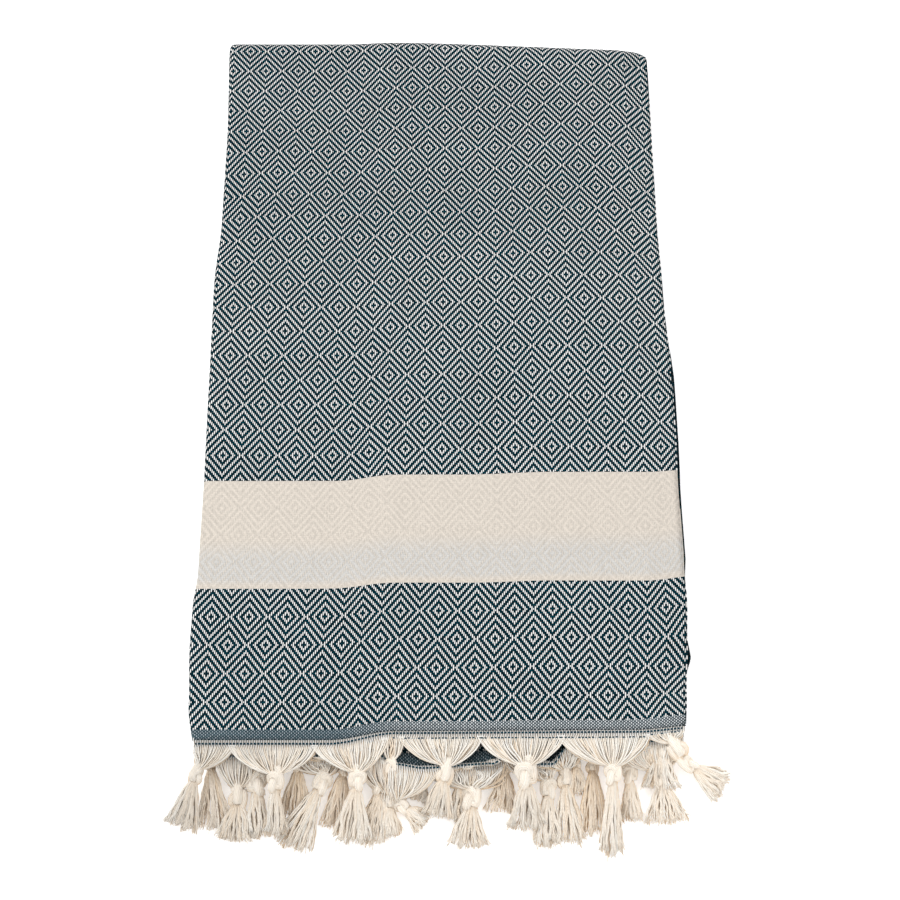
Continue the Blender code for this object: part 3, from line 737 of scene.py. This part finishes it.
def tubes(paths, radii, sides):
    """Round threads along paths of threads x points x 3. Returns vertices, side faces and end faces."""
    side, up = carried_frames(paths)
    count, points = paths.shape[:2]
    angles = 2.0 * math.pi * np.arange(sides) / sides
    ring = side[:, :, None] * np.cos(angles)[:, None] + up[:, :, None] * np.sin(angles)[:, None]
    vertices = paths[:, :, None] + ring * np.broadcast_to(radii, (count, points))[:, :, None, None]
    index = np.arange(count * points * sides).reshape(count, points, sides)
    near, far = index[:, :-1], index[:, 1:]
    quads = np.stack([near, np.roll(near, -1, axis=2), np.roll(far, -1, axis=2), far], axis=-1)
    ends = np.concatenate([index[:, 0, ::-1], index[:, -1]])
    return vertices.reshape(-1, 3), quads.reshape(-1, 4), ends


class Yarn:
    """Collects threads that become one mesh."""

    def __init__(self):
        self.vertices, self.faces, self.tones, self.lengths = [], [], [], []
        self.count = 0

    def add(self, paths, radii, sides, tones=None):
        """tones are per thread or per point, 0 in shade and 1 lit. Without them they are random."""
        vertices, quads, ends = tubes(paths, radii, sides)
        points = paths.shape[1]
        if tones is None:
            tones = np.random.random(len(paths))
        if np.ndim(tones) == 1:
            tones = np.repeat(tones[:, None], points, axis=1)
        steps = np.linalg.norm(np.diff(paths, axis=1), axis=-1)
        along = np.concatenate([np.zeros((len(paths), 1)), np.cumsum(steps, axis=1)], axis=1)
        self.vertices.append(vertices)
        self.faces += [quads + self.count, ends + self.count]
        self.tones.append(np.repeat(np.clip(tones, -1.0, 2.0).ravel(), sides))
        self.lengths.append(np.repeat(along.ravel(), sides))
        self.count += len(vertices)

    def build(self, name, material):
        part = mesh_object(name, to_scene(np.concatenate(self.vertices)), self.faces, material)
        add_attribute(part, "tone", "FLOAT", np.concatenate(self.tones))
        add_attribute(part, "along", "FLOAT", np.concatenate(self.lengths))
        return part


def bezier(first, second, third, fourth, shares):
    t = shares[None, :, None]
    return ((1 - t) ** 3 * first[:, None] + 3 * t * (1 - t) ** 2 * second[:, None]
            + 3 * t * t * (1 - t) * third[:, None] + t ** 3 * fourth[:, None])


def resampled(points, count):
    """A smooth path through points, with evenly spaced places."""
    points = np.asarray(points, dtype=float)
    padded = np.concatenate([[2 * points[0] - points[1]], points, [2 * points[-1] - points[-2]]])
    t = np.linspace(0.0, 1.0, 9)[:-1, None]
    dense = []
    for a, b, c, d in zip(padded, padded[1:], padded[2:], padded[3:]):
        dense.append(0.5 * (2 * b + (c - a) * t + (2 * a - 5 * b + 4 * c - d) * t * t
                            + (3 * b - a - 3 * c + d) * t ** 3))
    dense = np.concatenate(dense + [points[-1:]])
    length = np.concatenate([[0.0], np.cumsum(np.linalg.norm(np.diff(dense, axis=0), axis=1))])
    places = np.linspace(0.0, length[-1], count)
    return np.stack([np.interp(places, length, dense[:, axis]) for axis in range(3)], axis=1)


def overhand_path(count):
    """The middle line of a tight overhand knot, pulled along x."""
    t = np.linspace(-2.64, 2.64, 21)
    loop = np.stack([1.05 * (np.sin(t) + 2.0 * np.sin(2.0 * t)),
                     0.92 * (np.cos(t) - 2.0 * np.cos(2.0 * t)) + 0.25, -1.4 * np.sin(3.0 * t)], axis=1)
    lead = np.array([(-5.6, -0.2, 0.2), (-3.9, -0.9, 0.8), (-1.7, -1.55, 1.35)])
    return resampled(np.concatenate([lead, loop, lead[::-1] * (-1.0, 1.0, -1.0)]), count)


OVERHAND = overhand_path(KNOT_POINTS)


class TasselAxes:
    """A tassel's own axes: ahead towards the skirt, across, and up."""

    def __init__(self, knot, tip):
        self.knot = np.array(knot, dtype=float)
        way = np.array(tip, dtype=float) - self.knot
        way[2] = max(way[2], -0.45 * math.hypot(way[0], way[1]))
        self.ahead = unit(way)
        self.across = unit(np.array([-way[1], way[0], 0.0]))
        if self.across[0] < 0.0:
            self.across = -self.across
        self.up = np.cross(self.ahead, self.across)

    def place(self, along, across, up):
        return (self.knot + np.asarray(along)[..., None] * self.ahead
                + np.asarray(across)[..., None] * self.across + np.asarray(up)[..., None] * self.up)


def add_knot(yarn, axes, size, shade):
    """An overhand knot of a bundle of threads, with painted shade on what lies lower and deeper in it."""
    roll = np.random.uniform(-0.9, 0.9)
    mirrored = np.random.choice((-1.0, 1.0))
    turned_y = OVERHAND[:, 1] * math.cos(roll) - OVERHAND[:, 2] * math.sin(roll)
    turned_z = OVERHAND[:, 1] * math.sin(roll) + OVERHAND[:, 2] * math.cos(roll)
    long, wide, high = KNOT_SHAPE
    middle = axes.place(long * size * OVERHAND[:, 0], mirrored * wide * size * turned_y,
                        high * size * turned_z)
    side, up = carried_frames(middle[None])
    share = np.linspace(0.0, 1.0, len(middle))
    paths = []
    for thread in range(KNOT_THREADS):
        angle = 2.0 * math.pi * (thread / KNOT_THREADS + 0.8 * share)
        radius = 1.20 * size * (1.0 + 0.07 * np.sin(5.0 * share + 2.3 * thread))
        outward = np.cos(angle)[:, None] * side[0] + np.sin(angle)[:, None] * up[0]
        paths.append(middle + radius[:, None] * outward)
    paths = np.array(paths)
    # Painted shade: each point of a thread is darker the lower it lies in the knot; each thread also differs
    # in tone at random
    lift = (paths[..., 2] - axes.knot[2]) / (3.2 * size)
    tones = 0.48 + 0.72 * np.clip(lift + 0.35, 0.0, 1.0)
    tones = np.minimum(tones, 1.0) + np.random.uniform(-0.14, 0.06, (KNOT_THREADS, 1)) - 0.3 * shade
    yarn.add(paths, KNOT_THREAD_RADIUS * size, KNOT_SIDES, tones)
    # A dark core between the threads, as painted shade inside the knot
    yarn.add(middle[None], 1.0 * size, CORE_SIDES, np.array([0.15]))


def add_skirt(yarn, axes, tip, half_width, pile, size, strands, shade):
    """Plied strands in two layers of soft, wavy locks, from the knot to the tip."""
    start = axes.place(NECK_BEFORE_KNOT * size, 0.0, 0.0)
    run_out = np.array(tip) - start[:2]
    length = np.linalg.norm(run_out)
    way = run_out / length
    across = axes.across
    locks = max(6, round(2.0 * half_width / LOCK_WIDTH))
    layer = np.arange(strands) % 2
    place = np.random.uniform(-1.0, 1.0, strands)
    cell = (place + 1.0) * 0.5 * locks + 0.5 * layer
    lock = np.floor(cell).astype(int)
    inside = 2.0 * (cell - lock) - 1.0
    lock = lock + (locks + 1) * layer
    kinds = 2 * (locks + 1)
    lock_reach = 1.0 + np.random.normal(0.0, 0.045, kinds)
    lock_swing = np.random.normal(0.0, 0.75, kinds)
    lock_start = np.random.uniform(0.0, 2.0 * math.pi, kinds)
    lock_turns = np.random.uniform(0.7, 1.5, kinds)
    lock_tone = np.random.normal(0.0, 0.09, kinds)
    lock_lift = np.random.uniform(-0.35, 0.45, kinds)
    lock_phase = lock_start[lock][:, None]
    share = np.linspace(0.0, 1.0, SKIRT_POINTS)[None, :]
    neck = 1.4 * size
    opening = neck + (half_width - neck) * share ** 0.75
    drawn = 0.16 + 0.42 * np.random.random(strands)[:, None]
    towards = -inside[:, None] / locks * drawn * share * share
    turns = 2.0 * math.pi * lock_turns[lock][:, None]
    wave = lock_swing[lock][:, None] * np.sin(turns * share + lock_phase) * share
    crimp_phase = lock_phase + np.random.normal(0.0, 0.8, strands)[:, None]
    crimp = 0.24 * np.sin(share * length * 0.75 + crimp_phase)
    fray = np.random.normal(0.0, 0.75, strands)[:, None] * share ** 4
    sideways = (place[:, None] + towards) * opening + wave + crimp + fray
    reach = length * lock_reach[lock] * (1.0 + np.random.normal(0.0, 0.035, strands))
    forwards = reach[:, None] * share * (1.0 - 0.07 * place[:, None] ** 2 * share)
    x = start[0] + way[0] * forwards + across[0] * sideways
    y = start[1] + way[1] * forwards + across[1] * sideways
    bulge = np.sqrt(np.clip(1.0 - place ** 2, 0.0, 1.0))
    rise = np.where(layer == 1, 1.0, -0.75)
    from_z = start[2] + rise * bulge * 1.35 * size
    to_z = pile + PLY_RADIUS + layer * (1.0 + 0.9 * size * bulge) + 0.35 * np.random.random(strands)
    ridge = (0.55 * np.cos(0.5 * math.pi * inside) + lock_lift[lock])[:, None]
    ease = 0.35 * share + 0.65 * share * share * (3.0 - 2.0 * share)
    z = from_z[:, None] * (1.0 - ease) + to_z[:, None] * ease + ridge * (0.3 + 0.7 * share)
    z += 0.35 * np.cos(5.0 * share + lock_phase) * share
    z = np.maximum(z, PLY_RADIUS)
    taper = PLY_RADIUS * (1.0 - 0.35 * share)
    # Painted shade: the lower layer of strands, the edges of each lock, the strands near the knot and tassels
    # with more depth of shade are darker. Each lock and strand also differs in tone at random
    tones = 0.50 + 0.34 * layer + 0.14 * np.cos(0.5 * math.pi * inside) + lock_tone[lock]
    tones += np.random.normal(0.0, 0.06, strands) - 0.45 * shade
    shade_near_knot = 0.28 * (1.0 - share) ** 3
    yarn.add(np.stack([x, y, z], axis=-1), taper, THREAD_SIDES, tones[:, None] - shade_near_knot)


def add_gather(yarn, root_x, root_y, root_z, axes, size, shade, deep, full):
    """Warp threads from the hem, sagging to the knot like a bowl. Returns their paths.

    deep is 1 for the threads behind, 0 for those in front. full is how widely the bowl bulges.
    """
    count = len(root_x)

    def root(out_y):
        return settled(np.stack([root_x, np.full(count, root_y + out_y), np.full(count, root_z)], axis=-1))

    first, second, third = root(0.9), root(-0.2), root(-HEADER_LENGTH)
    neck_place = -NECK_BEFORE_KNOT * size
    apart = third[:, 0] - axes.place(neck_place, 0.0, 0.0)[0]
    order = apart / np.abs(apart).max()
    neck_radius = NECK_RADIUS * size
    spin = np.arange(count) * 2.4 + 3.0 * deep
    depth = np.sqrt(np.clip(1.0 - order ** 2, 0.0, 1.0)) * np.sin(spin)
    neck = axes.place(np.full(count, neck_place), order * neck_radius, depth * neck_radius - 0.4 * deep)
    reach = third - neck
    lead_out = third - reach * (0.08 - 0.05 * full, 0.45 + 0.1 * full, 0.10)
    lead_in = neck + reach * (0.46 + 0.2 * full, 0.13, 0.30)
    share = np.linspace(0.0, 1.0, 9)[1:]
    curve = bezier(third, lead_out, lead_in, neck, share)
    belly = np.sin(math.pi * share)[None, :]
    tufts = count // THREADS_IN_TUFT + 1
    tuft_of = np.arange(count) // THREADS_IN_TUFT
    tuft = np.random.normal(0.0, 0.6 + 0.5 * full, tufts)[tuft_of][:, None]
    tuft_start = np.random.uniform(0.0, 6.0, tufts)[tuft_of][:, None]
    wander = np.sin(7.0 * share[None, :] + tuft_start)
    curve[..., 0] += belly * (0.16 * np.random.normal(size=(count, 1)) + 0.8 * tuft * wander)
    curve[..., 1] += belly * (0.22 * np.random.normal(size=(count, 1)) + 0.4 * tuft)
    curve[..., 2] += belly * (0.30 * np.random.normal(size=(count, 1)) + 0.8 * tuft - 0.6 * deep)
    paths = np.concatenate([np.stack([first, second, third], axis=1), curve], axis=1)
    paths[:, :3, 2] -= 1.1 * deep
    paths[:, 3:, 2] = np.maximum(paths[:, 3:, 2] - 0.30 * deep, WARP_RADIUS)
    # Painted shade and light: the threads behind, tassels with more depth of shade, the parts near the neck
    # and lower tufts are darker, higher tufts lighter; the header threads in front get painted light and
    # those behind painted shade. Each thread also differs in tone at random
    tones = np.random.uniform(0.85, 1.3, count) - 0.5 * shade - 0.4 * deep + 0.12 * tuft[:, 0]
    along = np.concatenate([(0.0, 0.0, 0.0), share ** 2])[None, :]
    tones = tones[:, None] - 0.22 * along
    tones[:, :3] += 0.5 - 1.9 * deep
    radii = np.full(paths.shape[1], WARP_RADIUS)
    radii[:len(HEADER_RADII)] = HEADER_RADII
    yarn.add(paths, radii, THREAD_SIDES, tones)
    return paths


def add_weft(yarn, points, radius):
    """One loose pick along points, smoothed."""
    yarn.add(resampled(points, max(8, 2 * len(points)))[None], radius, WEFT_SIDES)


def add_layer(yarn, picks, rows, hem_y, root_z, full):
    """The tassels of one layer, and its last picks."""
    coils = {name: (place, size) for name, *place, size in COILS}
    crossings = []
    for (name, root_from, root_to, knot_x, knot_y, knot_z, tip_x, tip_y, half_width, pile,
         size, strands, shade) in rows:
        axes = TasselAxes((knot_x, knot_y, knot_z), (tip_x, tip_y, pile + 1.5))
        gather_axes, gather_size = axes, size
        if name in coils:
            place, gather_size = coils[name]
            gather_axes = TasselAxes(place, (knot_x, knot_y, knot_z))
            add_knot(yarn, gather_axes, gather_size, shade)
        low_x = max(root_from - HANK_OVERLAP, LEFT_EDGE_X + 0.6)
        high_x = min(root_to + HANK_OVERLAP, RIGHT_EDGE_X - 0.6)
        root_x = np.arange(math.ceil(low_x / END_PITCH), high_x / END_PITCH) * END_PITCH
        paths = add_gather(yarn, root_x, hem_y, root_z, gather_axes, gather_size, shade, 0.0, full)
        root_between = root_x + 0.5 * END_PITCH
        add_gather(yarn, root_between, hem_y, root_z, gather_axes, gather_size, shade, 1.0, full)
        add_knot(yarn, axes, size, shade)
        add_skirt(yarn, axes, (tip_x, tip_y), half_width, pile, size, strands, shade)
        own = (root_x > root_from) & (root_x < root_to)
        crossings.append(paths[own, 1:5])
    crossings = np.concatenate(crossings)
    even = np.arange(len(crossings)) % 2 == 0
    over = np.where(even, 0.55, -0.65)[:, None] * (0.0, 0.0, 1.0)
    right_part = smooth(crossings[:, 0, 0], -65.0, -25.0)[:, None]
    share = 0.83 - 0.35 * right_part
    add_weft(picks, (1.0 - share) * crossings[:, 0] + share * crossings[:, 1] + over, WEFT_RADIUS)
    if full > 0.0:
        return
    # The first end has one more loose pick on its right, seen here and there
    on_right = crossings[:, 0, 0] > LOOSE_PICK_FROM_X
    shows = even & (np.random.random(len(crossings)) < 0.75)
    over = np.where(shows, 0.45, -0.65)[:, None] * (0.0, 0.0, 1.0)
    add_weft(picks, (0.45 * crossings[:, 1] + 0.55 * crossings[:, 2] + over)[on_right], LOOSE_WEFT_RADIUS)


def yarn_material(name, colour, shade, tone_range):
    """Soft spun cotton: each thread has its own tone and a fine twist, and the tone also carries painted
    shade and light. It has painted shade on the left and painted light on the right.
    """
    n = Nodes(name)
    tone = n.attribute("tone")
    along = n.attribute("along")
    coordinates = n.new("TexCoord")["Object"]
    fibre = n.noise(n.combine(n.times(along, 1.3), n.times(tone, 90.0), 0.0), 1.0)
    cloudy = n.noise(coordinates, 220.0, 3.0)
    share = n.plus(n.times(tone, 0.8), n.times(fibre, 0.2))
    share = n.math("POWER", n.math("MAXIMUM", share, 0.0), 0.75)
    # Low tones mix towards the shade colour as painted shade; tones above 1 mix towards a near-white, a
    # painted highlight on the lit header threads and a paler tone on some threads at random
    mixed = n.mix(n.ramp(tone, 1.0, 2.0), n.mix(share, shade, colour), CREAM_PALE_AND_HIGHLIGHT)
    factor = n.times_plus(cloudy, tone_range, 1.0 - 0.5 * tone_range)
    # Painted shade: negative tones darken the yarn further, as on the header threads behind
    factor = n.times(factor, n.times_plus(n.math("MINIMUM", tone, 0.0), 0.8, 1.0))
    # Painted shade on the left, painted light on the right
    x, _, _ = n.separate(coordinates)
    start, end, level = YARN_SHADE_ON_LEFT
    factor = n.times(factor, n.times_plus(n.ramp(x, start, end), 1.0 - level, level))
    start, end, level = YARN_LIGHT_ON_RIGHT
    factor = n.times(factor, n.times_plus(n.ramp(x, start, end), level - 1.0, 1.0))
    n.surface({"Base Color": n.scaled(mixed, factor), "Roughness": COTTON_ROUGHNESS,
               "Specular IOR Level": 0.1, "Sheen Weight": 0.15, "Sheen Roughness": 0.5})
    n.bump(n.plus(n.math("SINE", n.times(along, 9.0)), fibre), 0.5, YARN_RELIEF)
    return n.material


# Studio. Lengths in metres. columns of LAMPS: name, place, size, power in watts
FLOOR_SHADE = 0.95
FLOOR_GLOW = 0.38
FLOOR_HALF_WIDTH = 6.0
FLOOR_Z = -0.0003
SKY_STRENGTH = 0.94
LAMPS = (
    ("key", (-0.9, 0.9, 1.7), 1.2, 20.2),
    ("fill", (1.2, -0.6, 1.6), 1.4, 6.7),
)


def make_floor():
    n = Nodes("studio_floor")
    n.surface({"Base Color": (FLOOR_SHADE, FLOOR_SHADE, FLOOR_SHADE, 1.0), "Roughness": 1.0,
               "Specular IOR Level": 0.0, "Emission Color": WHITE, "Emission Strength": FLOOR_GLOW})
    corners = ((-1.0, -1.0), (1.0, -1.0), (1.0, 1.0), (-1.0, 1.0))
    vertices = np.array([(x * FLOOR_HALF_WIDTH, y * FLOOR_HALF_WIDTH, FLOOR_Z) for x, y in corners])
    floor = mesh_object("studio_floor", vertices, [np.array([(0, 1, 2, 3)])], n.material, False)


def make_light():
    world = bpy.data.worlds.new("studio")
    world.use_nodes = True
    background = world.node_tree.nodes["Background"]
    background.inputs["Color"].default_value = WHITE
    background.inputs["Strength"].default_value = SKY_STRENGTH
    bpy.context.scene.world = world
    for name, place, size, power in LAMPS:
        light = bpy.data.lights.new(name, "AREA")
        light.shape = "SQUARE"
        light.size = size
        light.energy = power
        lamp = bpy.data.objects.new(name, light)
        lamp.location = place
        aim = -np.array(place)
        lamp.rotation_euler = (math.atan2(math.hypot(aim[0], aim[1]), -aim[2]), 0.0,
                               math.atan2(aim[1], aim[0]) - math.pi / 2.0)
        bpy.context.scene.collection.objects.link(lamp)


# Camera: tilt from straight down, focal length in pixels of the square frame, distance in millimetres
CAMERA_TILT = math.radians(22.0)
FOCAL_PIXELS = 1683.4
FRAME_PIXELS = 900.0
CAMERA_DISTANCE = 909.0
SENSOR_WIDTH = 36.0


def make_camera():
    camera = bpy.data.cameras.new("camera")
    camera.sensor_width = SENSOR_WIDTH
    camera.lens = SENSOR_WIDTH * FOCAL_PIXELS / FRAME_PIXELS
    camera.clip_start = 0.01
    camera.clip_end = 50.0
    view = bpy.data.objects.new("camera", camera)
    target = np.array([0.0, 0.0, FOLDED_HEIGHT])
    away = np.array([0.0, -math.sin(CAMERA_TILT), math.cos(CAMERA_TILT)])
    view.location = to_scene(target + CAMERA_DISTANCE * away)
    view.rotation_euler = (CAMERA_TILT, 0.0, 0.0)
    bpy.context.scene.collection.objects.link(view)
    bpy.context.scene.camera = view


np.random.seed(RANDOM_SEED)
make_camera()
make_light()
make_floor()
cloth = build_cloth(weave_material())
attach(cloth, "root")
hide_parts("cloth")

cream = yarn_material("cream_yarn", CREAM_YARN, CREAM_SHADE, 0.06)
dark = yarn_material("dark_yarn", TEAL_YARN, TEAL_SHADE, 0.30)
picks = Yarn()
for piece, node, rows, hem_y, root_z, full in FRINGES:
    yarn = Yarn()
    add_layer(yarn, picks, rows, hem_y, root_z, full)
    part = yarn.build(piece, cream)
    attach(part, "root")
    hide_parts(node)
last_picks = picks.build("last_picks", dark)
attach(last_picks, "root")

scene = bpy.context.scene
scene.view_settings.view_transform = "Standard"
scene.view_settings.look = "None"
